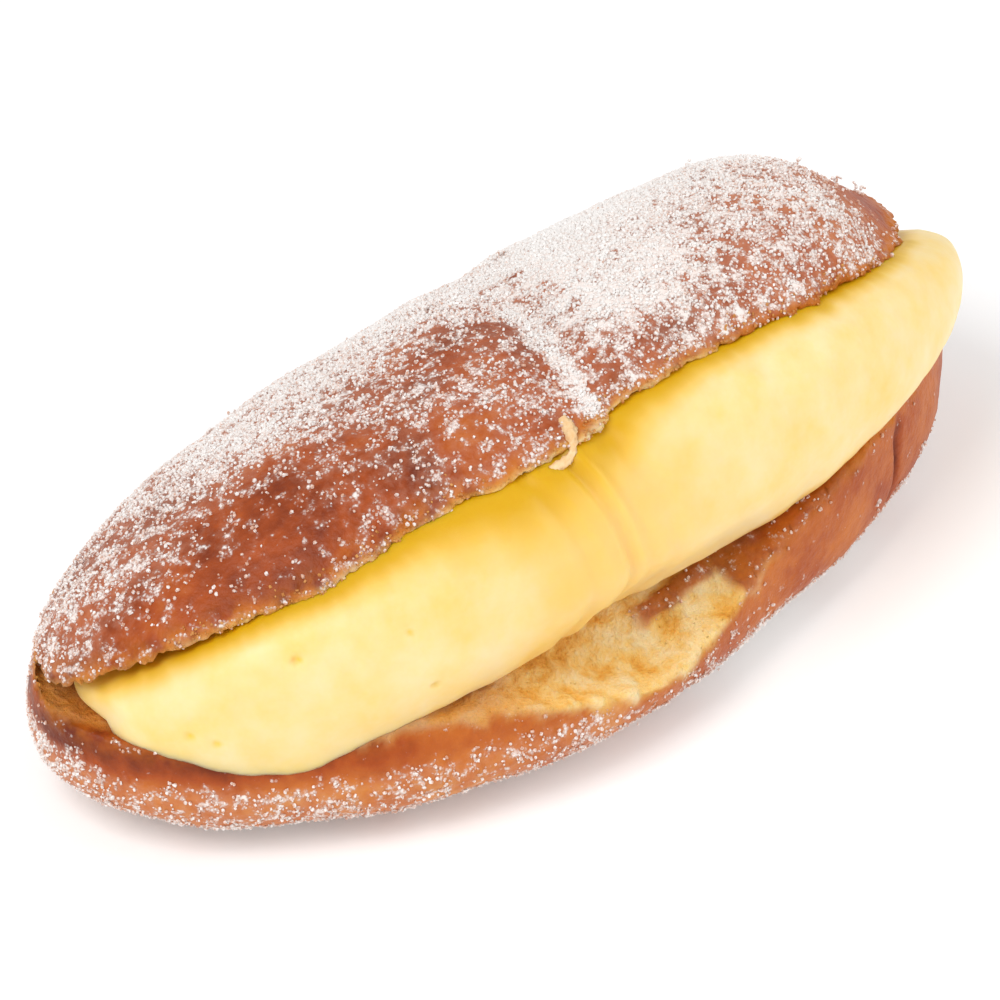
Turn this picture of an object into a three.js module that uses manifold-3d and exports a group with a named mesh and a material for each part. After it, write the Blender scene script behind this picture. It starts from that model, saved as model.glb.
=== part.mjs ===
// A long sweet bun, baked in two lobes, slit along one side, opened, and filled with a fat roll of custard.
// The bun is shaped closed, slit from the front to a hinge of crust along its back, and then opened about
// that hinge, so both cut faces and their torn lips come from the one slit. Its largest sugar grains are
// part of its crust. Millimetres. X runs along the bun, the opening faces -Y, and Z is up.
import * as THREE from "three";
import { mergeVertices } from "three/addons/utils/BufferGeometryUtils.js";
import Module from "manifold-3d";

const wasm = await Module();
wasm.setup();

// The closed bun.
const BUN_LENGTH = 158;
const BUN_WIDTH = 68;
const WIDEST_HEIGHT = 16; // of the line round the bun where it is widest
const DOME_HEIGHTS = [17.5, 22, 24]; // from that line to the crown: left end, middle, right end
const PRESSED_FLAT = 1.5; // what the flat foot takes off the round underside
const ENDS_SWING_BACK = 4.5; // how far the bun's curve carries its two ends towards the back
const CRUST_LUMPS = { height: 0.7, spacing: 34 }; // slow bumps in the crust

// How blunt the bun's ends are, seen from above, over the dome and under the belly: 2 is an ellipse.
const PLAN_BLUNTNESS = [2.1, 2];
const DOME_BLUNTNESS = [4.4, 2];
const BELLY_BLUNTNESS = [3, 4];

// How full the dome's and the belly's cross-sections are: 1 is round, and less is squarer.
const DOME_SECTION = { wide: 0.92, high: 0.9 };
const BELLY_SECTION = { wide: 0.8, high: 0.7 };

// The front of the bottom half swells where the custard weighs on it.
const SWELL = { depth: 5, at: -28, width: 34 };

// The crease that parts the two lobes runs over the dome, and the right lobe stands higher.
const CREASE = { depth: 2.4, width: 4.2, at: 4, slant: 11 };
const LOBE_STEP = { height: 1.5, from: 2, to: 12 };
const RIGHT_LOBE = { height: 9, at: 48, width: 19 };

// The slit: its height at the left end, in the middle and at the right end, and what is torn off it.
const SLIT_HEIGHTS = [20, 19.5, 20];
const SLIT_STEP = { height: 3.5, from: -8, to: 40 }; // the knife ran higher through the right lobe
const SLIT_WAVE = { height: 0.5, spacing: 21 };
const SLIT_THICKNESS = 1.2;
const LEFT_TIP = 1; // of crust left whole round the left end of the slit
const TORN_END = { height: 0.6, width: 12 }; // extra height of the slit at the left end
const SHELF = { drop: 7, at: -5, width: 22, depth: 15 }; // the torn ledge of crumb at the front

// The top lip.
const LIP_RAGS = { height: 0.4, spacing: 12 };
const LIP_STEP = { height: 0.8, from: -13, to: -6 }; // it rises where the crease meets it
const LIP_CRAG = { depth: 0.9, at: -55, width: 4, from: -10, to: -40 }; // left hanging from a thinner lip

// The hinge at the back, and how far the bun is opened: left end, middle, right end, in degrees.
const HINGE_CRUSTS = [3, 7, 7]; // of bread left uncut
const HINGE_END = { y: 21, from: 20, to: 70 }; // the slit runs out of the right end, in front of this y
const HINGE_SOFTNESS = 2; // distance over which the bread near the hinge goes from rigid to bent
const BENT_CRUST = 9; // of back crust above and below the slit that bends
const OPENING_ANGLES = [21, 28.5, 25];

// The custard.
const CUSTARD_INSETS = [4, 1.5]; // from the left and the right end of the bun
const CUSTARD_BLUNTNESS = [5, 5];
const CUSTARD_BULGES = [4, 3, 4.5]; // past the lips
const CUSTARD_ROUNDING = 9; // depth of its rounded front
const CUSTARD_BITE = 2; // how far the uncut blob reaches into the bread above and below
const CUSTARD_END_DEPTH = { share: 0.45, over: 35 }; // of the slit's depth, filled at the right end
const CUSTARD_END_SLANT = 9; // of the right end, which leans in under the top half
const CUSTARD_SECTION = { front: 0.9, back: 0.8, high: 0.8 };
const CUSTARD_GAP = 0.5; // to the bread all round, so that the two solids stay apart
const DROOP = { depth: 6, at: -62, width: 16 }; // where it hangs over the bottom lip
const SET_BACK = { depth: 5, at: -4, width: 22 }; // where it lies back on the ledge
const TUCKED_IN = { depth: 1.5, from: 50, to: 75 }; // its lower edge lies back, but at the right end
const GROOVE = { depth: 1, at: -8, width: 3 }; // between two strokes of the piping bag

// The largest sugar grains.
const GRAIN_COUNT = 110;
const GRAIN_RADII = [0.8, 1.3];
const GRAIN_SHAPE = [1.2, 1, 0.8];
const GRAIN_SUNK = 0.3; // of its radius
const GRAIN_SPACING = 5; // the least distance between two of them
const GRAIN_SEED = 7;
const BARE_TIPS = 0.03; // share of the length at each end where no grain lies
const BARE_RIM = 4; // of crust left bare above and below the slit
const BARE_UNDER_CUSTARD = 10; // and below the bottom lip, where custard hangs over it
const BARE_FOOT = [1, 3]; // heights over which the bottom half's sugar begins
const FRONT_COVER = 0.5; // share of sugar on the dome's front, against the crown

// How finely the surfaces are faceted.
const BUN_FACETS = { round: 36, along: 50 };
const SLIT_FACETS = { along: 40, deep: 8 };
const CUSTARD_FACETS = { round: 28, along: 40 };

const MIDDLE_Y = -1.25; // of the opened bun, from front to back

const HALF = BUN_LENGTH / 2;
const { clamp, degToRad, lerp, smoothstep } = THREE.MathUtils;

// A smooth bump of height 1 round `at`, which has faded out about 2 widths away.
const bump = (v, { at, width }) => Math.exp(-(((v - at) / width) ** 2));

// |v| to a power, with the sign of v.
const signedPower = (v, power) => Math.sign(v) * Math.abs(v) ** power;

// A value that changes smoothly from the left end over the middle to the right end.
function alongBun(x, [left, middle, right]) {
  const flatMiddle = 5;
  return lerp(middle, x < 0 ? left : right, smoothstep(Math.abs(x), flatMiddle, HALF));
}

// Uneven but repeatable lumps between -1 and 1, about `size` millimetres apart: waves in odd directions.
function lumps(x, y, z, size, seed) {
  const k = (2 * Math.PI) / size;
  const a = Math.sin(k * (x + 0.37 * z) + seed) * Math.sin(k * (0.83 * y - 0.21 * x) + 1.7 * seed);
  const b = Math.sin(k * (0.61 * z + 0.53 * x + 0.29 * y) + 2.3 * seed);
  return 0.6 * a + 0.4 * b;
}

// Share of the full section that is left `along` from the middle (-1 to 1), for a left and a right bluntness.
function fullness(along, [left, right]) {
  const power = along < 0 ? left : right;
  return (1 - Math.min(1, Math.abs(along)) ** power) ** (1 / power);
}

// A unit vector's place round the X axis: how far it looks across and up.
function roundX(n) {
  const ring = Math.hypot(n.y, n.z) || 1;
  return { across: n.y / ring, up: n.z / ring };
}

const halfWidth = (x) => (BUN_WIDTH / 2) * fullness(x / HALF, PLAN_BLUNTNESS);
const domeHeight = (x) => alongBun(x, DOME_HEIGHTS) * fullness(x / HALF, DOME_BLUNTNESS);
const bellyDepth = (x) => WIDEST_HEIGHT * fullness(x / HALF, BELLY_BLUNTNESS);
const swingBack = (x) => ENDS_SWING_BACK * (x / HALF) ** 2;

// What the right lobe adds to the dome, straight up.
function lobes(station) {
  const step = LOBE_STEP.height * smoothstep(station, LOBE_STEP.from, LOBE_STEP.to);
  return step + RIGHT_LOBE.height * bump(station, RIGHT_LOBE);
}

// A point of the closed bun's skin, for a unit vector that points out of a round ball.
function bunSkin(n, grow) {
  const { across, up } = roundX(n);
  const isDome = up > 0;
  const section = isDome ? DOME_SECTION : BELLY_SECTION;
  const station = n.x * HALF; // the rings of the skin slant as the crease does
  const x = station + CREASE.slant * across * (1 - n.x ** 2) ** 2;
  const swell = SWELL.depth * bump(x, SWELL) * Math.max(0, -across) * smoothstep(-up, -0.5, 0.2);
  const y = swingBack(x) + halfWidth(x) * signedPower(across, section.wide) - swell;
  const rise = (isDome ? domeHeight(x) : bellyDepth(x)) * signedPower(up, section.high);
  const p = new THREE.Vector3(x, y, WIDEST_HEIGHT - PRESSED_FLAT + rise);
  let lift = CRUST_LUMPS.height * lumps(p.x, p.y, p.z, CRUST_LUMPS.spacing, 1) + grow;
  if (isDome) lift += (lobes(station) * n.z - CREASE.depth * bump(station, CREASE)) * up;
  p.addScaledVector(n, lift);
  p.z = Math.max(p.z, -grow);
  return p;
}

// Heights of the slit in the closed bun: its own surface, and its floor and roof with what is torn off.
const slitStep = (x) => SLIT_STEP.height * smoothstep(x, SLIT_STEP.from, SLIT_STEP.to);
const slitHeight = (x) => alongBun(x, SLIT_HEIGHTS) + slitStep(x);
const slitSurface = (x, y) => slitHeight(x) + SLIT_WAVE.height * lumps(x, y, 0, SLIT_WAVE.spacing, 4);
const tornEnd = (x) => (TORN_END.height / 2) * bump(x, { at: -HALF, width: TORN_END.width });

function slitFloor(x, y) {
  const front = halfWidth(x) - swingBack(x);
  const outward = smoothstep(-y, front - SHELF.depth, front);
  return slitSurface(x, y) - SHELF.drop * bump(x, SHELF) * outward - tornEnd(x);
}

function slitRoof(x, y) {
  const ragged = LIP_RAGS.height * (1 + lumps(x, y, 0, LIP_RAGS.spacing, 9));
  const step = LIP_STEP.height * smoothstep(x, LIP_STEP.from, LIP_STEP.to);
  const thinner = LIP_CRAG.depth * (1 - bump(x, LIP_CRAG)) * smoothstep(-x, -LIP_CRAG.from, -LIP_CRAG.to);
  return slitSurface(x, y) + SLIT_THICKNESS + ragged + step + thinner + tornEnd(x);
}

// Where the slit stops at the back, how far the lips are from there, and the opening in radians.
const alongBack = (x) => swingBack(x) + Math.max(halfWidth(x) - alongBun(x, HINGE_CRUSTS), 0);
const hingeY = (x) => lerp(alongBack(x), HINGE_END.y, smoothstep(x, HINGE_END.from, HINGE_END.to));
const lipReach = (x) => hingeY(x) - swingBack(x) + halfWidth(x);
const openingAt = (x) => degToRad(alongBun(x, OPENING_ANGLES));

// Opens the closed bun: what is above the slit turns about the hinge, and the back crust bends.
function open(p) {
  const middle = slitSurface(p.x, p.y) + SLIT_THICKNESS / 2;
  const rigid = p.z > middle ? 1 : 0;
  const bent = smoothstep(p.z, middle - BENT_CRUST, middle + BENT_CRUST);
  const hinge = hingeY(p.x);
  const share = lerp(rigid, bent, smoothstep(p.y, hinge - HINGE_SOFTNESS, hinge + HINGE_SOFTNESS));
  const angle = openingAt(p.x) * share;
  const height = slitHeight(p.x);
  const dy = p.y - hinge;
  const dz = p.z - height;
  p.y = hinge + dy * Math.cos(angle) + dz * Math.sin(angle);
  p.z = height - dy * Math.sin(angle) + dz * Math.cos(angle);
  return p;
}

// A closed geometry with its vertices moved by `place`, as a solid that can be cut and joined.
function solidFrom(geometry, place) {
  geometry.deleteAttribute("normal");
  geometry.deleteAttribute("uv");
  const merged = mergeVertices(geometry, 1e-4);
  const position = merged.getAttribute("position");
  const p = new THREE.Vector3();
  for (let i = 0; i < position.count; i++) {
    p.fromBufferAttribute(position, i);
    const q = place(p);
    position.setXYZ(i, q.x, q.y, q.z);
  }
  return new wasm.Manifold(
    new wasm.Mesh({
      numProp: 3,
      vertProperties: new Float32Array(position.array),
      triVerts: new Uint32Array(merged.index.array),
    }),
  );
}

function geometryOf(solid) {
  const { vertProperties, triVerts } = solid.getMesh();
  const geometry = new THREE.BufferGeometry();
  geometry.setAttribute("position", new THREE.BufferAttribute(vertProperties, 3));
  geometry.setIndex(new THREE.BufferAttribute(triVerts, 1));
  geometry.computeVertexNormals();
  return geometry;
}

// A ball whose poles lie on the X axis.
const ball = ({ round, along }) => new THREE.SphereGeometry(1, round, along).rotateZ(-Math.PI / 2);

// The slab of nothing that the knife leaves. It runs out of the front and the right end.
function slit(grow) {
  const runOut = 8;
  const slab = new THREE.BoxGeometry(1, 1, 1, SLIT_FACETS.along, SLIT_FACETS.deep, 1);
  return solidFrom(slab, (c) => {
    const x = lerp(-HALF + LEFT_TIP, HALF + runOut, c.x + 0.5);
    const y = lerp(-BUN_WIDTH / 2 - runOut, hingeY(x), c.y + 0.5);
    const z = c.z > 0 ? slitRoof(x, y) - grow : slitFloor(x, y) + grow;
    return new THREE.Vector3(x, y, z);
  });
}

// The opened bun, its skin moved out and its slit closed in by `grow`.
function openBun(grow) {
  const closed = solidFrom(ball(BUN_FACETS), (n) => bunSkin(n, grow));
  const cut = geometryOf(closed.subtract(slit(grow)));
  return solidFrom(cut, (p) => open(p.clone()));
}

// A point of the custard before the bread cuts it to shape: a blob round the wedge between the cut faces.
function custardSkin(n) {
  const { across, up } = roundX(n);
  const front = Math.max(0, -across);
  const under = Math.max(0, -up);

  // Along the bun.
  const end = fullness(n.x, CUSTARD_BLUNTNESS);
  const inUnder = (1 + (across + up) * Math.SQRT1_2 * end) / 2;
  const slant = CUSTARD_END_SLANT * inUnder * smoothstep(n.x, 0.4, 1);
  const x = lerp(-HALF + CUSTARD_INSETS[0], HALF - CUSTARD_INSETS[1], (n.x + 1) / 2) - slant;
  const at = clamp(x, -HALF + 2, HALF - 3);

  // Out from the hinge.
  const tucked = TUCKED_IN.depth * (1 - smoothstep(x, TUCKED_IN.from, TUCKED_IN.to));
  const setBack = (SET_BACK.depth * bump(x, SET_BACK) + tucked) * smoothstep(under, 0, 0.8);
  const groove = GROOVE.depth * bump(x, GROOVE);
  const core = lipReach(at) + alongBun(at, CUSTARD_BULGES) - setBack - groove - CUSTARD_ROUNDING;
  const depth = core * lerp(1, CUSTARD_END_DEPTH.share, smoothstep(x, HALF - CUSTARD_END_DEPTH.over, HALF));
  const forward = CUSTARD_ROUNDING * front ** CUSTARD_SECTION.front;
  const back = depth * Math.max(0, across) ** CUSTARD_SECTION.back;
  const along = core + forward - back;
  const out = lerp(core, along, end);

  // Up and down from the plane half way between the cut faces.
  const bisector = openingAt(at) / 2;
  const half = Math.min(along, core) * Math.tan(bisector) + CUSTARD_BITE;
  const lift = half * signedPower(up, CUSTARD_SECTION.high) * end;
  const droop = DROOP.depth * bump(x, DROOP) * under * smoothstep(front, 0, 0.5);

  const y = hingeY(at) - out * Math.cos(bisector) + lift * Math.sin(bisector) - droop / 2;
  const z = slitHeight(at) + out * Math.sin(bisector) + lift * Math.cos(bisector) - droop;
  return new THREE.Vector3(x, y, z);
}

// Random numbers from 0 to 1 that are the same every time.
function seededRandom(seed) {
  let state = seed;
  return () => {
    state = (state * 16807) % 2147483647;
    return state / 2147483647;
  };
}

// How thickly sugar lies on the closed bun's skin, from 0 to 1.
function sugarCover(n, p) {
  const toSlit = p.z - slitSurface(p.x, p.y);
  const bareBelow = p.y < 0 ? BARE_UNDER_CUSTARD : BARE_RIM;
  if (toSlit < BARE_RIM && toSlit > -bareBelow) return 0;
  if (toSlit < 0) return smoothstep(p.z, ...BARE_FOOT);
  return lerp(FRONT_COVER, 1, smoothstep(n.y, -0.8, 0));
}

// The largest sugar grains, each part sunk in the crust of the opened bun.
function sugarGrains() {
  const random = seededRandom(GRAIN_SEED);
  const centres = [];
  const grains = [];
  while (grains.length < GRAIN_COUNT) {
    const nx = (1 - BARE_TIPS) * lerp(-1, 1, random());
    const turn = 2 * Math.PI * random();
    const ring = Math.sqrt(1 - nx ** 2);
    const n = new THREE.Vector3(nx, ring * Math.cos(turn), ring * Math.sin(turn));
    const closed = bunSkin(n, 0);
    const chance = random();
    const tilt = new THREE.Euler(6 * random(), 6 * random(), 6 * random());
    const radius = lerp(...GRAIN_RADII, random());
    const centre = open(closed.clone()).addScaledVector(n, -GRAIN_SUNK * radius);
    const crowded = centres.some((other) => other.distanceTo(centre) < GRAIN_SPACING);
    if (crowded || chance > sugarCover(n, closed) * ring) continue;
    const size = new THREE.Vector3(...GRAIN_SHAPE).multiplyScalar(radius);
    const place = (p) => p.multiply(size).applyEuler(tilt).add(centre);
    grains.push(solidFrom(new THREE.IcosahedronGeometry(1, 0), place));
    centres.push(centre);
  }
  return grains;
}

function makeMesh(name, solid, colour, roughness) {
  const material = new THREE.MeshStandardMaterial({ color: colour, roughness, metalness: 0 });
  const mesh = new THREE.Mesh(geometryOf(solid), material);
  mesh.name = name;
  return mesh;
}

const sugaredBun = sugarGrains().reduce((whole, grain) => whole.add(grain), openBun(0));
const custardRoll = solidFrom(ball(CUSTARD_FACETS), custardSkin).subtract(openBun(CUSTARD_GAP));

const group = new THREE.Group();
group.add(makeMesh("bun", sugaredBun, "#a85a30", 0.6));
group.add(makeMesh("custard", custardRoll, "#fce08a", 0.35));
group.position.y = -MIDDLE_Y;

export default group;
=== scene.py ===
# A long sugared bun, slit and opened about a hinge of crust along its back, and filled with custard.
# The bun and the custard repeat the rules of the solid part, much finer, with relief, colours and sugar.
# Forms are worked out in millimetres and turned into metres at the end.
import itertools
import math

import bpy
import numpy as np
from mathutils import Matrix, Vector
from mathutils.bvhtree import BVHTree


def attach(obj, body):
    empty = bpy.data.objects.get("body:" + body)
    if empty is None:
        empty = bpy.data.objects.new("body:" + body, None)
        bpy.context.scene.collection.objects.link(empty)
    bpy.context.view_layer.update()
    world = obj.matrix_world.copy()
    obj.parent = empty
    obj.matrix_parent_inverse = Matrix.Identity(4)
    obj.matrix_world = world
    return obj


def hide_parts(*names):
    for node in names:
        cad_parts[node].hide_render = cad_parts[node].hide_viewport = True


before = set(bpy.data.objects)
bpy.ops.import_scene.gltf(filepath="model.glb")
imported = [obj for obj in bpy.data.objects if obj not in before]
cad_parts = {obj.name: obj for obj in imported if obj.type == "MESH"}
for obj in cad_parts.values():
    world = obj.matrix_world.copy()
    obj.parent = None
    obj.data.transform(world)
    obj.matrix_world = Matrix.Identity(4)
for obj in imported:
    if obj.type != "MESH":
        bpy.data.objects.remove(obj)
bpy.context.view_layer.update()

MM = 0.001

# The closed bun, as in the part.
BUN_LENGTH = 158
BUN_WIDTH = 68
WIDEST_HEIGHT = 16
DOME_HEIGHTS = (17.5, 22, 24)
PRESSED_FLAT = 1.5
ENDS_SWING_BACK = 4.5
CRUST_LUMPS = {"height": 0.7, "spacing": 34}
PLAN_BLUNTNESS = (2.1, 2)
DOME_BLUNTNESS = (4.4, 2)
BELLY_BLUNTNESS = (3, 4)
DOME_SECTION = {"wide": 0.92, "high": 0.9}
BELLY_SECTION = {"wide": 0.8, "high": 0.7}
SWELL = {"depth": 5, "at": -28, "width": 34}
CREASE = {"depth": 2.4, "width": 4.2, "at": 4, "slant": 11}
LOBE_STEP = {"height": 1.5, "start": 2, "stop": 12}
RIGHT_LOBE = {"height": 9, "at": 48, "width": 19}

# The slit and its torn lips, as in the part.
SLIT_HEIGHTS = (20, 19.5, 20)
SLIT_STEP = {"height": 3.5, "start": -8, "stop": 40}
SLIT_WAVE = {"height": 0.5, "spacing": 21}
SLIT_THICKNESS = 1.2
TORN_END = {"height": 0.6, "width": 12}
SHELF = {"drop": 7, "at": -5, "width": 22, "depth": 15}
LIP_RAGS = {"height": 0.4, "spacing": 12}
LIP_STEP = {"height": 0.8, "start": -13, "stop": -6}
LIP_CRAG = {"depth": 0.9, "at": -55, "width": 4, "start": 10, "stop": 40}

# The hinge and the opening, as in the part.
HINGE_CRUSTS = (3, 7, 7)
HINGE_END = {"y": 21, "start": 20, "stop": 70}
HINGE_SOFTNESS = 2
BENT_CRUST = 9
OPENING_ANGLES = (21, 28.5, 25)

# The custard, as in the part.
CUSTARD_INSETS = (4, 1.5)
CUSTARD_BULGES = (4, 3, 4.5)
CUSTARD_ROUNDING = 9
CUSTARD_BITE = 2
CUSTARD_END_DEPTH = {"share": 0.45, "over": 35}
CUSTARD_END_SLANT = 7.5
CUSTARD_SECTION = {"front": 0.9, "back": 0.8, "high": 0.8}
DROOP = {"depth": 6, "at": -62, "width": 16}
SET_BACK = {"depth": 5, "at": -4, "width": 22}
TUCKED_IN = {"depth": 1.5, "start": 50, "stop": 75}
GROOVE = {"depth": 1, "at": -8, "width": 3}

# Where the bun is finished more closely than in the part: its top lip sags, its right tip closes a little,
# its crease is filled at the front, a fold of crust lies on the ledge, and the bottom crust is cracked.
LEFT_LIP_SAGS = {"depth": 1.4, "at": -35, "width": 13}
RIGHT_LIP_SAGS = {"depth": 1.7, "start": 2, "stop": 24}
RIGHT_TIP_CLOSES = {"slope": 0.05, "start": 45, "stop": 70}
FILLED_CREASE = {"height": 1.6, "width": 3.6}
CRUST_FOLD_HEIGHT = 1.1
CRACK = {"depth": 1.2, "at": 46.5, "width": 0.8, "slant": 0.12}

# And the custard: it is squeezed up against the lip, follows it down at the right, and ends blunter there.
SQUEEZED_UP = 0.8
FOLLOWS_LIP = 0.9
LOWER_END = {"depth": 1.8, "start": 50, "stop": 72}
BLUNTER_END = (5, 7)

# The custard's arcs from the piping bag as (x, depth, width), and its pits as (x, y, z, radius, depth).
PIPING_ARCS = ((-10, 0.8, 1.0), (-17, 0.45, 1.3), (-3, 0.4, 1.5), (24, 0.25, 2.0), (-33, 0.25, 2.2))
PITS = (
    (-58.2, -21.3, 34.2, 0.7, 0.9),
    (-57.4, -21.5, 32.6, 0.4, 0.4),
    (-70.8, -14.0, 23.5, 0.7, 0.5),
    (-68.4, -16.7, 22.5, 0.7, 0.4),
    (-42.2, -30.4, 26.9, 0.5, 0.6),
    (-44.5, -28.1, 35.7, 0.45, 0.4),
    (-62.0, -19.0, 27.5, 0.5, 0.3),
    (60.2, -18.0, 36.0, 0.5, 0.5),
)

# The relief of the skin, as (name, field, height, size, detail).
RELIEF = (
    ("Crust", "crust", 0.8, 8.0, 2.0),
    ("Pucker", "crust", 0.3, 1.7, 2.0),
    ("Crumb", "crumb", 2.8, 4.5, 3.0),
    ("Grain", "crumb", 1.0, 1.7, 1.0),
    ("Lip", "lip", 2.4, 1.9, 4.0),
    ("Foot", "rough_foot", 2.2, 3.4, 3.0),
)

# The places of the largest sugar grains, as in the part.
GRAIN_COUNT = 110
GRAIN_RADII = (0.8, 1.3)
GRAIN_SUNK = 0.3
GRAIN_SPACING = 5
GRAIN_SEED = 7
UNUSED_DRAWS = 3
BARE_TIPS = 0.03
BARE_RIM = 4
BARE_UNDER_CUSTARD = 10
BARE_FOOT = (1, 3)
FRONT_COVER = 0.5

# A torn strand of dough on the top lip, as (x, y, z, radius), with the bun's middle in the middle.
STRAND = (
    (-12.1, -20.4, 51.3, 0.5),
    (-12.5, -22.4, 50.8, 1.05),
    (-13.3, -24.0, 49.8, 0.6),
    (-14.2, -25.0, 48.8, 0.42),
    (-16.0, -25.1, 48.1, 0.75),
    (-17.8, -24.5, 47.8, 0.35),
)

# How the sugar lies in clumps: how far apart they are, and how ragged.
CLUMP_SIZE = 1.9
CLUMP_DETAIL = 4.0
CLUMP_ROUGHNESS = 0.6

# The crystals on each of the largest grains: their number, spread as a share of the grain, and radii.
CLUMP_COUNT = 9
CLUMP_SPREAD = 0.42
CLUMP_CRYSTALS = (0.22, 0.36)
CLUMP_SEED = 11

MIDDLE_Y = -1.25
HALF = BUN_LENGTH / 2

# How far from the bread the painted shade on the custard reaches.
PAINTED_SHADE_REACH = 12

# How finely the surfaces are made.
BUN_GRID = {"along": 300, "around": 280}
SLIT_GRID = {"along": 320, "deep": 120}
CUSTARD_GRID = {"along": 396, "around": 236}
SKIN_FACET = 0.73

# The camera's place, fitted to the photograph: 38 degrees above the table, 41.5 degrees round to the left.
AZIMUTH = math.radians(-41.5)
ELEVATION = math.radians(38)
DISTANCE = 1.0
AIM = Vector((-3.66, 1.44, 20.09)) * MM
LENS = {"sensor": 36, "length": 260.64}
level = math.cos(ELEVATION)
back = Vector((math.sin(AZIMUTH) * level, -math.cos(AZIMUTH) * level, math.sin(ELEVATION)))
right = Vector((math.cos(AZIMUTH), math.sin(AZIMUTH), 0))


# Small sums.
def lerp(a, b, share):
    return a + (b - a) * share


def smoothstep(v, low, high):
    share = np.clip((v - low) / (high - low), 0, 1)
    return share * share * (3 - 2 * share)


def bump(v, at, width):
    return np.exp(-(((v - at) / width) ** 2))


def rise(v, feature):
    """From 0 to 1 between a feature's start and stop."""
    return smoothstep(v, feature["start"], feature["stop"])


def hump(v, feature):
    """A bump of 1 at a feature's place, with its width."""
    return bump(v, feature["at"], feature["width"])


def signed_power(v, power):
    return np.sign(v) * np.abs(v) ** power


def along_bun(x, ends):
    left, middle, right = ends
    flat_middle = 5
    return lerp(middle, np.where(x < 0, left, right), smoothstep(np.abs(x), flat_middle, HALF))


def lumps(x, y, z, size, seed):
    k = 2 * np.pi / size
    a = np.sin(k * (x + 0.37 * z) + seed) * np.sin(k * (0.83 * y - 0.21 * x) + 1.7 * seed)
    b = np.sin(k * (0.61 * z + 0.53 * x + 0.29 * y) + 2.3 * seed)
    return 0.6 * a + 0.4 * b


def fullness(along, bluntness):
    power = np.where(along < 0, bluntness[0], bluntness[1])
    return (1 - np.minimum(1, np.abs(along)) ** power) ** (1 / power)


def dot(p, q):
    return (p * q).sum(1)


def round_x(n):
    ring = np.hypot(n[:, 1], n[:, 2])
    ring = np.where(ring == 0, 1, ring)
    return n[:, 1] / ring, n[:, 2] / ring


# The closed bun's skin.
def half_width(x):
    return BUN_WIDTH / 2 * fullness(x / HALF, PLAN_BLUNTNESS)


def swing_back(x):
    return ENDS_SWING_BACK * (x / HALF) ** 2


def bun_skin(n):
    across, up = round_x(n)
    is_dome = up > 0
    wide = np.where(is_dome, DOME_SECTION["wide"], BELLY_SECTION["wide"])
    high = np.where(is_dome, DOME_SECTION["high"], BELLY_SECTION["high"])
    station = n[:, 0] * HALF
    x = station + CREASE["slant"] * across * (1 - n[:, 0] ** 2) ** 2
    swell = SWELL["depth"] * hump(x, SWELL) * np.maximum(0, -across)
    swell *= smoothstep(-up, -0.5, 0.2)
    y = swing_back(x) + half_width(x) * signed_power(across, wide) - swell
    dome = along_bun(x, DOME_HEIGHTS) * fullness(x / HALF, DOME_BLUNTNESS)
    belly = WIDEST_HEIGHT * fullness(x / HALF, BELLY_BLUNTNESS)
    z = WIDEST_HEIGHT - PRESSED_FLAT + np.where(is_dome, dome, belly) * signed_power(up, high)
    lift = CRUST_LUMPS["height"] * lumps(x, y, z, CRUST_LUMPS["spacing"], 1)
    raised = LOBE_STEP["height"] * rise(station, LOBE_STEP)
    raised += RIGHT_LOBE["height"] * hump(station, RIGHT_LOBE)
    crease = CREASE["depth"] * hump(station, CREASE)
    lift += np.where(is_dome, (raised * n[:, 2] - crease) * up, 0)
    p = np.stack([x, y, z], 1) + n * lift[:, None]
    p[:, 2] = np.maximum(p[:, 2], 0)
    return p


# The slit in the closed bun.
def slit_height(x):
    step = SLIT_STEP["height"] * rise(x, SLIT_STEP)
    return along_bun(x, SLIT_HEIGHTS) + step


def slit_surface(x, y):
    return slit_height(x) + SLIT_WAVE["height"] * lumps(x, y, 0, SLIT_WAVE["spacing"], 4)


def torn_end(x):
    return TORN_END["height"] / 2 * bump(x, -HALF, TORN_END["width"])


def slit_floor(x, y):
    front = half_width(x) - swing_back(x)
    outward = smoothstep(-y, front - SHELF["depth"], front)
    shelf = SHELF["drop"] * hump(x, SHELF) * outward
    return slit_surface(x, y) - shelf - torn_end(x)


def slit_roof(x, y):
    ragged = LIP_RAGS["height"] * (1 + lumps(x, y, 0, LIP_RAGS["spacing"], 9))
    step = LIP_STEP["height"] * rise(x, LIP_STEP)
    thinner = LIP_CRAG["depth"] * (1 - hump(x, LIP_CRAG))
    thinner *= rise(-x, LIP_CRAG)
    return slit_surface(x, y) + SLIT_THICKNESS + ragged + step + thinner + torn_end(x)


# The hinge and the opening.
def hinge_y(x):
    along_back = swing_back(x) + np.maximum(half_width(x) - along_bun(x, HINGE_CRUSTS), 0)
    return lerp(along_back, HINGE_END["y"], rise(x, HINGE_END))


def lip_reach(x):
    return hinge_y(x) - swing_back(x) + half_width(x)


def opening_at(x):
    return np.radians(along_bun(x, OPENING_ANGLES))


def opened(p):
    x, y, z = p.T
    middle = slit_surface(x, y) + SLIT_THICKNESS / 2
    rigid = np.where(z > middle, 1.0, 0.0)
    bent = smoothstep(z, middle - BENT_CRUST, middle + BENT_CRUST)
    hinge = hinge_y(x)
    share = lerp(rigid, bent, smoothstep(y, hinge - HINGE_SOFTNESS, hinge + HINGE_SOFTNESS))
    angle = opening_at(x) * share
    height = slit_height(x)
    dy = y - hinge
    dz = z - height
    turned_y = hinge + dy * np.cos(angle) + dz * np.sin(angle)
    turned_z = height - dy * np.sin(angle) + dz * np.cos(angle)
    return np.stack([x, turned_y, turned_z], 1)


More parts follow.
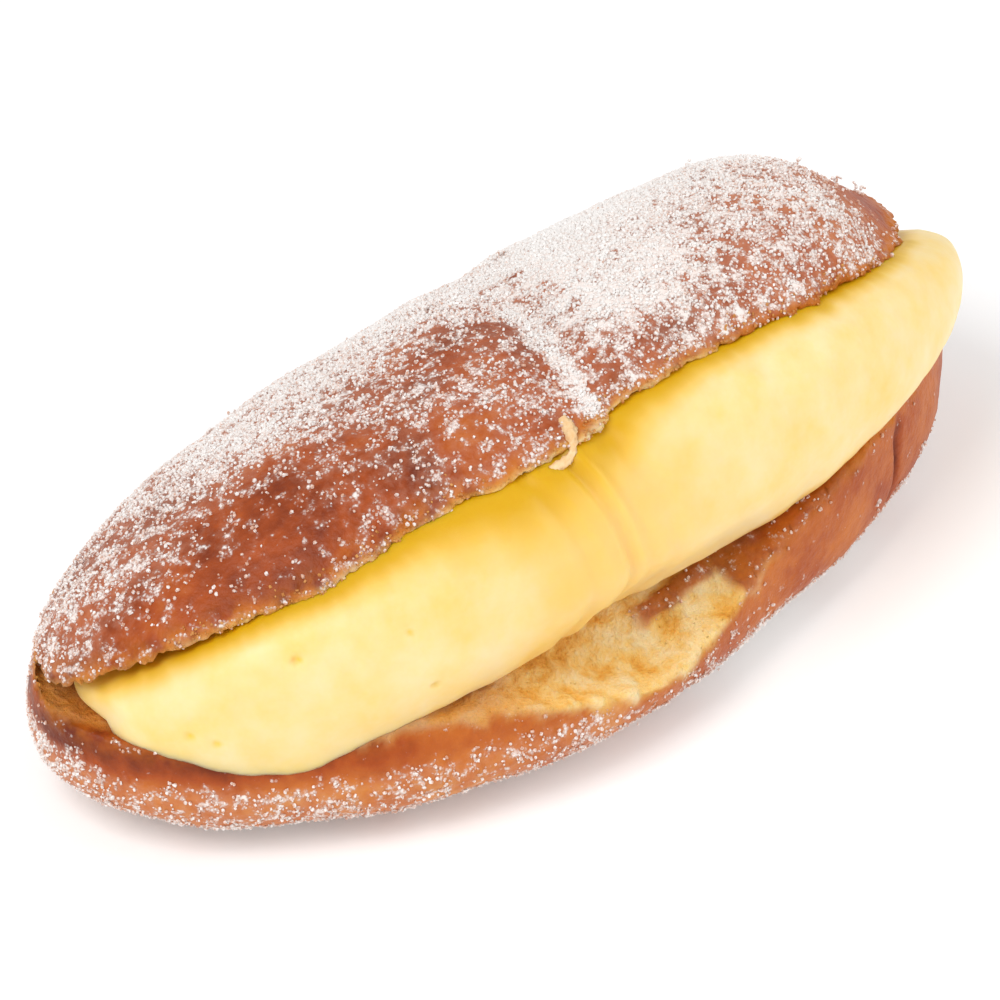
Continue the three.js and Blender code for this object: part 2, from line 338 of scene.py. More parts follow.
# The custard before the bread cuts it to shape.
def custard_skin(n):
    across, up = round_x(n)
    front = np.maximum(0, -across)
    under = np.maximum(0, -up)
    end = fullness(n[:, 0], BLUNTER_END)
    in_under = (1 + (across + up) * math.sqrt(0.5) * end) / 2
    slant = CUSTARD_END_SLANT * in_under * smoothstep(n[:, 0], 0.4, 1)
    x = lerp(-HALF + CUSTARD_INSETS[0], HALF - CUSTARD_INSETS[1], (n[:, 0] + 1) / 2) - slant
    at = np.clip(x, -HALF + 2, HALF - 3)
    set_back = SET_BACK["depth"] * hump(x, SET_BACK)
    set_back += TUCKED_IN["depth"] * (1 - rise(x, TUCKED_IN))
    set_back *= smoothstep(under, 0, 0.8)
    groove = GROOVE["depth"] * hump(x, GROOVE)
    core = lip_reach(at) + along_bun(at, CUSTARD_BULGES) - set_back - groove - CUSTARD_ROUNDING
    taper = smoothstep(x, HALF - CUSTARD_END_DEPTH["over"], HALF)
    depth = core * lerp(1, CUSTARD_END_DEPTH["share"], taper)
    forward = CUSTARD_ROUNDING * front ** CUSTARD_SECTION["front"]
    back = depth * np.maximum(0, across) ** CUSTARD_SECTION["back"]
    along = core + forward - back
    out = lerp(core, along, end)
    bisector = opening_at(at) / 2
    half = np.minimum(along, core) * np.tan(bisector) + CUSTARD_BITE
    squeezed = SQUEEZED_UP - LOWER_END["depth"] * rise(x, LOWER_END)
    squeezed -= FOLLOWS_LIP * RIGHT_LIP_SAGS["depth"] * rise(x, RIGHT_LIP_SAGS)
    lift = (half * signed_power(up, CUSTARD_SECTION["high"]) + squeezed * np.maximum(0, up)) * end
    droop = DROOP["depth"] * hump(x, DROOP) * under * smoothstep(front, 0, 0.5)
    y = hinge_y(at) - out * np.cos(bisector) + lift * np.sin(bisector) - droop / 2
    z = slit_height(at) + out * np.sin(bisector) + lift * np.cos(bisector) - droop
    return np.stack([x, y, z], 1)


# Meshes.
def faces_between(rings, around, first):
    """The faces between rings of points that follow each other, from the number of the first point."""
    here = np.arange(around)
    after = np.roll(here, -1)
    starts = first + around * np.arange(rings - 1)[:, None]
    quads = np.stack([starts + here, starts + after, starts + around + after, starts + around + here], 2)
    return quads.reshape(-1, 4).tolist()


def ball(along, around):
    """Unit vectors of a ball with its poles on the X axis, and its faces."""
    tilt = np.linspace(0, np.pi, along + 1)[1:-1, None]
    turn = np.linspace(0, 2 * np.pi, around, endpoint=False)[None, :]
    rings = np.stack(
        [-np.cos(tilt) + 0 * turn, np.sin(tilt) * np.cos(turn), np.sin(tilt) * np.sin(turn)], 2
    ).reshape(-1, 3)
    points = np.concatenate([[(-1, 0, 0)], rings, [(1, 0, 0)]])
    here = np.arange(around)
    after = np.roll(here, -1)
    last = 1 + around * (along - 2)
    pole = len(points) - 1
    caps = [(0, 1 + b, 1 + a) for a, b in zip(here, after)]
    caps += [(pole, last + a, last + b) for a, b in zip(here, after)]
    return points, faces_between(along - 1, around, 1) + caps


def slab(along, deep):
    """A flat box's top and bottom as places u and v from 0 to 1 and a side of 1 or 0, and its faces."""
    u, v = np.meshgrid(np.linspace(0, 1, along + 1), np.linspace(0, 1, deep + 1), indexing="ij")
    top = np.stack([u.ravel(), v.ravel(), np.ones(u.size)], 1)
    bottom = top * (1, 1, 0)
    number = np.arange(u.size).reshape(u.shape)
    quads = np.stack([number[:-1, :-1], number[1:, :-1], number[1:, 1:], number[:-1, 1:]], 2).reshape(-1, 4)
    rim = np.concatenate([number[:-1, 0], number[-1, :-1], number[:0:-1, -1], number[0, :0:-1]])
    after = np.roll(rim, -1)
    sides = np.stack([after, rim, rim + u.size, after + u.size], 1)
    faces = np.concatenate([quads, quads[:, ::-1] + u.size, sides])
    return np.concatenate([top, bottom]), faces.tolist()


def make_object(name, points, faces):
    mesh = bpy.data.meshes.new(name)
    mesh.from_pydata(np.asarray(points).tolist(), [], faces)
    mesh.update()
    thing = bpy.data.objects.new(name, mesh)
    bpy.context.scene.collection.objects.link(thing)
    return thing


def points_of(mesh):
    points = np.empty(len(mesh.vertices) * 3)
    mesh.vertices.foreach_get("co", points)
    return points.reshape(-1, 3)


def normals_of(mesh):
    normals = np.empty(len(mesh.vertices) * 3, np.float32)
    mesh.vertex_normals.foreach_get("vector", normals)
    return normals.reshape(-1, 3).astype(float)


def move_points(mesh, points):
    mesh.vertices.foreach_set("co", np.asarray(points, np.float32).ravel())
    mesh.update()


def triangles_of(mesh):
    mesh.calc_loop_triangles()
    corners = np.empty(len(mesh.loop_triangles) * 3, np.int32)
    mesh.loop_triangles.foreach_get("vertices", corners)
    return corners.reshape(-1, 3)


def store(mesh, name, values):
    attribute = mesh.attributes.new(name, "FLOAT", "POINT")
    attribute.data.foreach_set("value", np.asarray(values, np.float32))


def edges_of(mesh):
    ends = np.empty(len(mesh.edges) * 2, np.int32)
    mesh.edges.foreach_get("vertices", ends)
    return ends.reshape(-1, 2)


def blurred(mesh, values, times):
    """Values at the points, each replaced so many times by the mean of it and its neighbours."""
    a, b = edges_of(mesh).T
    count = 1 + np.bincount(a, minlength=len(values)) + np.bincount(b, minlength=len(values))
    for _ in range(times):
        total = values + np.bincount(a, values[b], len(values)) + np.bincount(b, values[a], len(values))
        values = total / count
    return values


def with_modifier(thing, kind, **settings):
    """Gives the object the mesh that a modifier makes of it, without the modifier."""
    modifier = thing.modifiers.new(kind, kind)
    for name, value in settings.items():
        setattr(modifier, name, value)
    finished = bpy.data.meshes.new_from_object(thing.evaluated_get(bpy.context.evaluated_depsgraph_get()))
    thing.modifiers.clear()
    thing.data = finished
    return thing


# The finished bun's shape: cut closed, opened, and given even facets.
points, faces = ball(**BUN_GRID)
bun = make_object("bun_with_crust_and_crumb", bun_skin(points), faces)
points, faces = slab(**SLIT_GRID)
slab_x = lerp(-HALF - 1, HALF + 8, points[:, 0])
slab_y = lerp(-BUN_WIDTH / 2 - 8, hinge_y(slab_x), points[:, 1])
slab_z = np.where(points[:, 2] > 0, slit_roof(slab_x, slab_y), slit_floor(slab_x, slab_y))
knife = make_object("knife", np.stack([slab_x, slab_y, slab_z], 1), faces)
with_modifier(bun, "BOOLEAN", object=knife, operation="DIFFERENCE", solver="MANIFOLD")
bpy.data.objects.remove(knife)


cut_points = points_of(bun.data)
cut_triangles = triangles_of(bun.data)
cut_opened = opened(cut_points)
move_points(bun.data, cut_opened)
cut_tree = BVHTree.FromPolygons(cut_opened.tolist(), cut_triangles.tolist())
with_modifier(bun, "REMESH", mode="VOXEL", voxel_size=SKIN_FACET)
with_modifier(bun, "SMOOTH", factor=0.5, iterations=2)


def closed_places(points):
    """Where points of the opened bun lay in the closed bun."""
    found = [cut_tree.find_nearest(p) for p in points.tolist()]
    spots = np.array([f[0] for f in found])
    corners = cut_triangles[np.array([f[2] for f in found])]
    a, b, c = (cut_opened[corners[:, k]] for k in range(3))
    first = b - a
    second = c - a
    inward = spots - a
    slant = dot(first, second)
    area = np.maximum(dot(first, first) * dot(second, second) - slant * slant, 1e-12)
    v = (dot(second, second) * dot(inward, first) - slant * dot(inward, second)) / area
    w = (dot(first, first) * dot(inward, second) - slant * dot(inward, first)) / area
    a, b, c = (cut_points[corners[:, k]] for k in range(3))
    return a + np.clip(v, 0, 1)[:, None] * (b - a) + np.clip(w, 0, 1)[:, None] * (c - a)


# What lies where on the bun, from the place each point had in the closed bun.
closed = closed_places(points_of(bun.data))
x, y, z = closed.T
above_slit = z - slit_surface(x, y) - SLIT_THICKNESS / 2
past_lip = np.max([z - slit_roof(x, y), slit_floor(x, y) - z, y - hinge_y(x)], axis=0)
from_front = y - swing_back(x) + half_width(x)
across = np.clip((y - swing_back(x)) / np.maximum(half_width(x), 1), -1, 1)
slanted = CREASE["slant"] * signed_power(across, 1 / DOME_SECTION["wide"]) * (1 - (x / HALF) ** 2) ** 2
station = x - slanted
is_top = above_slit > 0
is_bottom = ~is_top


def crumb_and_folds():
    """Where pale crumb shows in place of crust, and the folds of crust that lie over the ledge of crumb."""
    on_lower_lip = np.where(z < slit_surface(x, y), 1.3, 0)
    ragged = 0.6 + on_lower_lip * np.maximum(0, lumps(x, y, z, 6, 3) + 0.7 * lumps(x, y, z, 2.7, 5))
    shown = blurred(bun.data, 1 - smoothstep(past_lip, 0.5 * ragged, 1.5 * ragged), 1)
    baked_rim = smoothstep(-x, 50, 62) * (1 - smoothstep(from_front, 4, 8)) * is_bottom
    on_ledge = (1 - smoothstep(x, 30, 40)) * is_bottom
    curl = smoothstep(-np.abs(y + 27.5 + 0.3 * lumps(x, y, z, 5, 2)), -1.7, -1.0) * smoothstep(x, -5, -2)
    flap = smoothstep(x + 0.8 * lumps(x, y, z, 5, 7), 9.8, 11)
    folds = np.maximum(curl * (1 - smoothstep(x, 9, 12)), flap) * on_ledge * shown
    return shown * ((1 - baked_rim) * (1 - 0.92 * folds)), folds


crumb, crust_folds = crumb_and_folds()
crust = 1 - crumb
lip = np.exp(-((np.maximum(past_lip, 0) / 2) ** 2))
cracked = hump(x - CRACK["slant"] * z + 0.4 * lumps(x, y, z, 7, 3), CRACK) * smoothstep(-y, 5, 12)
cracked *= bump(z, 14, 6) * is_bottom


def sugar_on_top():
    """How thickly it lies on the top half: nearly closed over the crown, beside the crease and in it."""
    right_lobe = lerp(smoothstep(station, 3, 12), 0.6, smoothstep(y, 0, 15))
    low = lerp(0.36 + 0.12 * smoothstep(x, -50, -20), 0.64, right_lobe)
    high = lerp(0.5, 0.82, right_lobe)
    cover = lerp(low, high, smoothstep(above_slit, 5, 15))
    behind = smoothstep(y, -4, 6)
    drifted = station + behind * (3 * lumps(x, y, z, 13, 3) + 1.5 * lumps(x, y, z, 5, 4))
    cover += 0.4 * bump(drifted, 16, 13) * smoothstep(above_slit, 7, 12) * (1 - smoothstep(y, 0, 14))
    over_crown = smoothstep(y, -13, 2) * (1 - 0.6 * smoothstep(y, 8, 24))
    over_crown *= 1 - 0.6 * smoothstep(-x, 38, 58)
    cover += lerp(0.42, 0.26, right_lobe) * over_crown
    cover -= 0.17 * smoothstep(-x, 36, 50) * smoothstep(-y, -1, 9)
    cover *= lerp(1, 0.12, smoothstep(x, 49, 63))
    cover = np.maximum(cover, 0.54 * bump(x, -HALF, 7))
    cover -= 0.08 * bump(station, CREASE["at"] + 5, 1.5) * smoothstep(-above_slit, -9, -5)
    ragged = station + 0.9 * lumps(x, y, z, 7, 2) + 0.6 * lumps(x, y, z, 3.1, 5)
    filled = smoothstep(above_slit, 0, 3) * smoothstep(-y, 0, 10)
    band = bump(ragged, CREASE["at"] - 1.2, 2.2 + 1.6 * smoothstep(above_slit, 6, 14))
    cover = np.maximum(cover, 1.2 * band * filled)
    along_wrinkle = 0.6 * (x - 11.4) - 0.8 * (y + 8)
    off_wrinkle = 0.8 * (x - 11.4) + 0.6 * (y + 8) + 0.5 * lumps(x, y, z, 6, 1)
    return cover * (1 - 0.75 * bump(off_wrinkle, 0, 0.7) * bump(along_wrinkle, -8, 4))


def sugar_on_bottom():
    """How thickly it lies on the bottom half: at its foot, less to the right, and all over the back."""
    foot = lerp(0.5, 0.4, smoothstep(x, -55, 10)) * smoothstep(-above_slit, 3.5, 8)
    foot += 0.25 * bump(z, 2, 3)
    foot *= lerp(1, 1.3 * smoothstep(-z, -11, -5), smoothstep(x, 0, 25))
    foot += 0.5 * bump(x, 20, 15) * bump(z, 5, 4)
    behind = 0.7 * smoothstep(-above_slit + 1.5 * lumps(x, y, z, 9, 2), 1, 7)
    return lerp(foot, behind, smoothstep(y, -5, 10))


def sugar_cover():
    """How thickly sugar lies on crust, on the rims of the lips and on the folds, in patches."""
    cover = np.where(is_top, sugar_on_top(), sugar_on_bottom())
    rim = np.where(is_top, 0.5, 0.2) * bump(past_lip, 0.6, 1.3)
    cover = np.maximum(cover * smoothstep(past_lip, 0.0, 1.4), rim) * np.maximum(crust, 0.5 * lip * is_top)
    patches = 0.1 * lumps(x, y, z, 19, 6) + 0.08 * lumps(x, y, z, 8.3, 3)
    cover = np.clip(cover + patches * np.clip(cover * 3, 0, 1), 0, 1.4)
    return np.maximum(cover, 0.24 * crust_folds) * smoothstep(z, 0.3, 1.2)


def baking_and_crack_shade():
    """How dark the crust is: darkest on the left of the top and round the left pocket, and darker in the crack
    as painted shade.
    """
    below = lerp(0.5, 0.56, smoothstep(x, -40, 60))
    below -= 0.16 * smoothstep(-z, -11, -6) * smoothstep(-x, 0, 40)
    dark = np.where(is_top, lerp(0.74, 0.5, smoothstep(x, 20, 75)), below)
    dark += 0.5 * bump(above_slit, -2.5, 3.5) * smoothstep(-x, 38, 62)
    dark += 0.2 * crust_folds
    dark -= 0.22 * (bump(above_slit, -8.5, 3.5) * is_bottom) * smoothstep(-x, 0, 30)
    # Painted shade in the crack.
    return dark + 0.7 * cracked


def toasting():
    """How toasted the crumb is: in the left pocket, beside the custard and at the ledge's right end."""
    pocket = np.where(is_top, 0.1 + 0.65 * smoothstep(-x, 60, 70), 0.85 * smoothstep(-x, 50, 64))
    beside_custard = 0.6 * smoothstep(-x, 22, 34) * is_bottom
    return np.max([pocket, beside_custard, smoothstep(x, 14, 22)], axis=0)


fields = {
    "crumb": crumb,
    "crust": crust,
    "lip": (lip * crust + 0.6 * crumb * bump(past_lip, 0.3, 1)) * np.where(is_top, 1, 0.3),
    "sugar": sugar_cover(),
    "bake_and_crack_shade": baking_and_crack_shade(),
    "toast": toasting(),
    "rough_foot": smoothstep(-z, -6, -1) * smoothstep(-y, 4, 12) * is_bottom,
    "crumbs": lip * is_top * (past_lip > 0.1) * smoothstep(x, -72, -66) * smoothstep(-x, -60, -54),
}
for name, values in fields.items():
    store(bun.data, name, values)

# Single features: the fold, the crack and the filled crease along the normal, and the sags and the closing tip
# downwards.
fold = CRUST_FOLD_HEIGHT * crust_folds * smoothstep(-past_lip, -0.6, 0.2)
filled = FILLED_CREASE["height"] * bump(station, CREASE["at"], FILLED_CREASE["width"])
filled *= is_top * smoothstep(y, -14, -2)
step = fold - CRACK["depth"] * cracked + filled
left_sag = LEFT_LIP_SAGS["depth"] * hump(x, LEFT_LIP_SAGS)
left_sag *= bump(above_slit, 0, 4.5) * bump(from_front, 0, 5)
right_sag = RIGHT_LIP_SAGS["depth"] * rise(x, RIGHT_LIP_SAGS)
right_sag *= bump(above_slit, 0, 7) * bump(from_front, 0, 9)
sag = (left_sag + right_sag) * is_top
closing = RIGHT_TIP_CLOSES["slope"] * rise(x, RIGHT_TIP_CLOSES)
closing *= np.maximum(hinge_y(x) - y, 0) * is_top
moved = points_of(bun.data) + step[:, None] * normals_of(bun.data) + sag[:, None] * (0, -0.3, -1)
moved[:, 2] -= closing
move_points(bun.data, moved)


# Node trees. These kinds and settings are shared by many nodes.
MATH = "ShaderNodeMath"
VECTOR_MATH = "ShaderNodeVectorMath"
NOISE = "ShaderNodeTexNoise"
MAP_RANGE = "ShaderNodeMapRange"
MIX = "ShaderNodeMix"
PRINCIPLED = "ShaderNodeBsdfPrincipled"
ADD = {"operation": "ADD"}
SUBTRACT = {"operation": "SUBTRACT"}
MULTIPLY = {"operation": "MULTIPLY"}
DIVIDE = {"operation": "DIVIDE"}
MULTIPLY_ADD = {"operation": "MULTIPLY_ADD"}
MINIMUM = {"operation": "MINIMUM"}
SCALE = {"operation": "SCALE"}
OF_NUMBERS = {"data_type": "FLOAT"}
OF_COLOURS = {"data_type": "RGBA"}
SMOOTHLY = {"interpolation_type": "SMOOTHSTEP"}


def open_socket(node, key):
    """A node's input by its number, or the one in use with that name."""
    if isinstance(key, int):
        return node.inputs[key]
    return next(s for s in node.inputs if s.enabled and key in (s.name, s.identifier))


def add(tree, kind, settings=None, inputs=None):
    """Adds a node with its settings, and with each input set to a value or linked to a node or socket."""
    node = tree.nodes.new(kind)
    for name, value in (settings or {}).items():
        setattr(node, name, value)
    for key, value in (inputs or {}).items():
        socket = open_socket(node, key)
        if isinstance(value, bpy.types.Node):
            value = next(s for s in value.outputs if s.enabled)
        if isinstance(value, bpy.types.NodeSocket):
            tree.links.new(value, socket)
        else:
            socket.default_value = value
    return node


def geometry_tree(name, values):
    """A tree with a geometry in and out, and named numbers with their defaults."""
    tree = bpy.data.node_groups.new(name, "GeometryNodeTree")
    tree.interface.new_socket("Geometry", in_out="INPUT", socket_type="NodeSocketGeometry")
    tree.interface.new_socket("Geometry", in_out="OUTPUT", socket_type="NodeSocketGeometry")
    for key, value in values.items():
        kind = "NodeSocketInt" if isinstance(value, int) else "NodeSocketFloat"
        socket = tree.interface.new_socket(key, in_out="INPUT", socket_type=kind)
        socket.default_value = value
    return tree, add(tree, "NodeGroupInput"), add(tree, "NodeGroupOutput")


def grow(name, surface, tree, values):
    """A new object: the mesh that a geometry tree makes from a surface, with these numbers."""
    thing = bpy.data.objects.new(name, surface.data.copy())
    bpy.context.scene.collection.objects.link(thing)
    modifier = thing.modifiers.new("nodes", "NODES")
    modifier.node_group = tree
    for socket in tree.interface.items_tree:
        if socket.in_out == "INPUT" and socket.name in values:
            modifier[socket.identifier] = values[socket.name]
    finished = bpy.data.meshes.new_from_object(thing.evaluated_get(bpy.context.evaluated_depsgraph_get()))
    thing.modifiers.clear()
    thing.data = finished
    return thing


def relief_tree():
    """Moves crust and crumb in and out along their normals by noise, each with its own size and height."""
    values = {}
    for name, _, height, size, _ in RELIEF:
        values |= {f"{name} height": height, f"{name} size": size}
    tree, given, result = geometry_tree("relief", values)
    place = add(tree, "GeometryNodeInputPosition")
    total = 0.0
    for name, field, _, _, detail in RELIEF:
        scale = add(tree, MATH, DIVIDE, {0: 1.0, 1: given.outputs[f"{name} size"]})
        noise = add(tree, NOISE, {}, {"Vector": place, "Scale": scale, "Detail": detail})
        centred = add(tree, MATH, SUBTRACT, {0: noise, 1: 0.5})
        amount = add(tree, MATH, MULTIPLY, {0: centred, 1: given.outputs[f"{name} height"]})
        where = add(tree, "GeometryNodeInputNamedAttribute", OF_NUMBERS, {"Name": field})
        total = add(tree, MATH, MULTIPLY_ADD, {0: amount, 1: where, 2: total})
    normal = add(tree, "GeometryNodeInputNormal")
    offset = add(tree, VECTOR_MATH, SCALE, {0: normal, "Scale": total})
    moved = add(tree, "GeometryNodeSetPosition", {}, {"Geometry": given, "Offset": offset})
    smooth = add(tree, "GeometryNodeSetShadeSmooth", {}, {"Geometry": moved})
    tree.links.new(smooth.outputs[0], result.inputs[0])
    return tree


plain_bun = bun
bun = grow("bun_with_crust_and_crumb", plain_bun, relief_tree(), {})
bpy.data.objects.remove(plain_bun)
bun.name = "bun_with_crust_and_crumb"
bun_points = points_of(bun.data)
bun_points[:, 2] = np.maximum(bun_points[:, 2], 0)
move_points(bun.data, bun_points)


def swirled(p):
    """The custard's skin with slow swells, faint arcs from the piping bag, and pits from air bubbles."""
    x, y, z = p.T
    out = 0.22 * lumps(x, y, z, 17, 3) + 0.1 * lumps(x, y, z, 7, 8) + 0.04 * lumps(x, y, z, 3.3, 1)
    for at, depth, width in PIPING_ARCS:
        bend = x - at + 0.012 * (z - 27) ** 2
        out -= depth * bump(bend, 0, width) - 0.5 * depth * bump(bend, 2 * width, width)
    for *place, radius, depth in PITS:
        apart = np.linalg.norm((p - place) * (0.8, 1, 1), axis=1)
        out -= depth * bump(apart, 0, radius)
    middle = np.stack([x, np.full_like(y, 5), np.full_like(z, 22)], 1)
    away = p - middle
    return p + out[:, None] * away / np.maximum(np.linalg.norm(away, axis=1), 1)[:, None]


# The custard, cut by the finished bun, and how far each of its points is from both halves, which sets its
# painted shade under the top lip and over the ledge.
points, faces = ball(**CUSTARD_GRID)
custard = make_object("custard_roll", custard_skin(points), faces)
with_modifier(custard, "SMOOTH", factor=0.5, iterations=10)
move_points(custard.data, swirled(points_of(custard.data)))
with_modifier(custard, "BOOLEAN", object=bun, operation="DIFFERENCE", solver="MANIFOLD")
bun_triangles = triangles_of(bun.data)
of_top = is_top[bun_triangles].all(1)
custard_points = points_of(custard.data)
custard_x = custard_points[:, 0]
# How wide the painted shade under the top lip is: widest across the middle, narrower at the right.
shade_width = 0.75 + 1.6 * bump(custard_x, -21, 16) - 0.2 * smoothstep(custard_x, 10, 60)
for name, near_triangles in (("under_lip", bun_triangles[of_top]), ("over_ledge", bun_triangles[~of_top])):
    half_tree = BVHTree.FromPolygons(bun_points.tolist(), near_triangles.tolist())
    found = [half_tree.find_nearest(p, PAINTED_SHADE_REACH)[3] for p in custard_points.tolist()]
    apart = np.array([PAINTED_SHADE_REACH if d is None else d for d in found])
    if name == "under_lip":
        apart /= shade_width
    else:
        # No painted shade over the ledge at the left.
        apart += 3 * (1 - smoothstep(custard_x, -5, 15))
    store(custard.data, name, apart)
# Painted shade in the pits: their colour is deepened.
pit_shade = np.zeros(len(custard_points))
for *spot, radius, depth in PITS:
    pit_shade = np.maximum(pit_shade, bump(np.linalg.norm(custard_points - spot, axis=1), 0, 0.8 * radius))
store(custard.data, "pit_shade", pit_shade)
# Painted shade: a broad deeper yellow across the middle, where the custard is set back under the lip.
store(custard.data, "shaded_middle", bump(custard_x, -12, 15))
custard.data.shade_smooth()


# Sugar and crumbs.
def scatter_tree(name, mask, material, shape, shape_settings):
    """Scatters grains of one shape where the surface's attribute is high, in clumps and part sunk in."""
    defaults = {"Per square mm": 1.0, "Least radius": 0.2, "Greatest radius": 0.3}
    defaults |= {"Clump size": 3.0, "Seed": 1}
    tree, given, result = geometry_tree(name, defaults)
    place = add(tree, "GeometryNodeInputPosition")
    scale = add(tree, MATH, DIVIDE, {0: 1.0, 1: given.outputs["Clump size"]})
    noise = add(
        tree,
        NOISE,
        {},
        {"Vector": place, "Scale": scale, "Detail": CLUMP_DETAIL, "Roughness": CLUMP_ROUGHNESS},
    )
    cover = add(tree, "GeometryNodeInputNamedAttribute", OF_NUMBERS, {"Name": mask})
    sum_of_both = add(tree, MATH, MULTIPLY_ADD, {0: cover, 1: 0.34, 2: noise})
    share = add(tree, MAP_RANGE, {}, {"Value": sum_of_both, "From Min": 0.53, "From Max": 0.8})
    share = add(tree, MATH, MULTIPLY, {0: share, 1: cover})
    density = add(tree, MATH, MULTIPLY, {0: share, 1: given.outputs["Per square mm"]})
    spots = add(
        tree,
        "GeometryNodeDistributePointsOnFaces",
        {},
        {"Mesh": given, "Density": density, "Seed": given.outputs["Seed"]},
    )
    radius = add(
        tree,
        "FunctionNodeRandomValue",
        OF_NUMBERS,
        {"Min": given.outputs["Least radius"], "Max": given.outputs["Greatest radius"], "Seed": 5},
    )
    turn = add(
        tree,
        "FunctionNodeRandomValue",
        {"data_type": "FLOAT_VECTOR"},
        {"Min": (0, 0, 0), "Max": (6.3, 6.3, 6.3), "Seed": 6},
    )
    turned = add(tree, "FunctionNodeEulerToRotation", {}, {0: turn})
    sunk = add(tree, MATH, MULTIPLY, {0: radius, 1: 0.45})
    rise = add(tree, VECTOR_MATH, SCALE, {0: spots.outputs["Normal"], "Scale": sunk})
    raised = add(tree, "GeometryNodeSetPosition", {}, {"Geometry": spots, "Offset": rise})
    crystal = add(tree, shape, {}, shape_settings)
    longer = add(tree, "GeometryNodeTransform", {}, {"Geometry": crystal, "Scale": (1.15, 1, 0.85)})
    placed = add(
        tree,
        "GeometryNodeInstanceOnPoints",
        {},
        {"Points": raised, "Instance": longer, "Rotation": turned, "Scale": radius},
    )
    single = add(tree, "GeometryNodeRealizeInstances", {}, {"Geometry": placed})
    painted = add(tree, "GeometryNodeSetMaterial", {}, {"Geometry": single, "Material": material})
    tree.links.new(painted.outputs[0], result.inputs[0])
    return tree


def hex_colour(text):
    """A colour for a shader from its sRGB hex number."""
    parts = [int(text[i : i + 2], 16) / 255 for i in (1, 3, 5)]
    return tuple(p / 12.92 if p <= 0.04045 else ((p + 0.055) / 1.055) ** 2.4 for p in parts) + (1.0,)


def set_stops(ramp, stops):
    """Gives a colour ramp its stops, as pairs of place and hex colour."""
    while len(ramp.color_ramp.elements) < len(stops):
        ramp.color_ramp.elements.new(0.5)
    for element, (at, colour) in zip(ramp.color_ramp.elements, stops):
        element.position = at
        element.color = hex_colour(colour)


def new_material(name):
    """A material with its tree emptied but for the output, and places in millimetres."""
    material = bpy.data.materials.new(name)
    material.use_nodes = True
    tree = material.node_tree
    tree.nodes.clear()
    output = add(tree, "ShaderNodeOutputMaterial")
    coordinates = add(tree, "ShaderNodeTexCoord")
    place = add(tree, VECTOR_MATH, SCALE, {0: coordinates.outputs["Object"], "Scale": 1000.0})
    return material, tree, output, place


def make_sugar_material():
    """White sugar crystals: clear faces that read as white with small glints."""
    material, tree, output, place = new_material("white_sugar_crystals")
    shade = add(tree, NOISE, {}, {"Vector": place, "Scale": 1.9, "Detail": 1.0})
    cover = add(tree, "ShaderNodeAttribute", {"attribute_name": "sugar"}).outputs["Fac"]
    white = add(tree, MATH, MULTIPLY_ADD, {0: cover, 1: 0.3, 2: shade})
    clear = add(tree, MAP_RANGE, {}, {"Value": white, "From Min": 0.5, "From Max": 0.76})
    colour = add(
        tree, MIX, OF_COLOURS, {"Factor": clear, "A": hex_colour("#d9a88e"), "B": hex_colour("#fbf7f4")}
    )
    surface = add(
        tree,
        PRINCIPLED,
        {},
        {"Base Color": colour, "Roughness": 0.28, "IOR": 1.54, "Transmission Weight": 0.08},
    )
    tree.links.new(surface.outputs[0], output.inputs[0])
    return material


def make_crumb_material():
    """Crumbs of golden crust."""
    material, tree, output, place = new_material("golden_crust_crumbs")
    shade = add(tree, NOISE, {}, {"Vector": place, "Scale": 0.9, "Detail": 1.0})
    colour = add(
        tree, MIX, OF_COLOURS, {"Factor": shade, "A": hex_colour("#a85a1e"), "B": hex_colour("#e8b066")}
    )
    surface = add(tree, PRINCIPLED, {}, {"Base Color": colour, "Roughness": 0.6, "IOR": 1.45})
    tree.links.new(surface.outputs[0], output.inputs[0])
    return material


sugar_material = make_sugar_material()
crumb_material = make_crumb_material()
ROUND = ("GeometryNodeMeshIcoSphere", {"Radius": 1.0, "Subdivisions": 1})
BLOCK = ("GeometryNodeMeshCube", {"Size": (1.6, 1.4, 1.3)})
CHIP = ("GeometryNodeMeshUVSphere", {"Segments": 4, "Rings": 2, "Radius": 1.15})
grains = []
for name, field, material, grain, density, least, greatest, clump, seed in (
    ("coarse_sugar", "sugar", sugar_material, ROUND, 0.98, 0.22, 0.34, CLUMP_SIZE, 3),
    ("medium_sugar", "sugar", sugar_material, BLOCK, 1.62, 0.16, 0.26, CLUMP_SIZE, 4),
    ("fine_sugar", "sugar", sugar_material, CHIP, 2.42, 0.12, 0.2, CLUMP_SIZE, 5),
    ("lip_crumbs", "crumbs", crumb_material, BLOCK, 2.0, 0.1, 0.24, 4.0, 6),
):
    values = {"Per square mm": density, "Least radius": least, "Greatest radius": greatest}
    values |= {"Clump size": clump, "Seed": seed}
    grains.append(grow(name, bun, scatter_tree(name, field, material, *grain), values))


def seeded_random(seed):
    """Random numbers from 0 to 1 that are the same every time."""
    state = seed
    while True:
        state = state * 16807 % 2147483647
        yield state / 2147483647


def grain_places():
    """Centres and radii of the largest sugar grains, drawn in the order that the part draws them."""
    random = seeded_random(GRAIN_SEED)
    centres = []
    radii = []
    while len(centres) < GRAIN_COUNT:
        nx = (1 - BARE_TIPS) * lerp(-1, 1, next(random))
        turn = 2 * math.pi * next(random)
        ring = math.sqrt(1 - nx**2)
        n = np.array([[nx, ring * math.cos(turn), ring * math.sin(turn)]])
        place = bun_skin(n)
        chance = next(random)
        for _ in range(UNUSED_DRAWS):
            next(random)
        radius = lerp(*GRAIN_RADII, next(random))
        centre = (opened(place) - GRAIN_SUNK * radius * n)[0]
        crowded = any(np.linalg.norm(other - centre) < GRAIN_SPACING for other in centres)
        if crowded or chance > grain_cover(n[0], place[0]) * ring:
            continue
        centres.append(centre)
        radii.append(radius)
    return np.array(centres), np.array(radii)


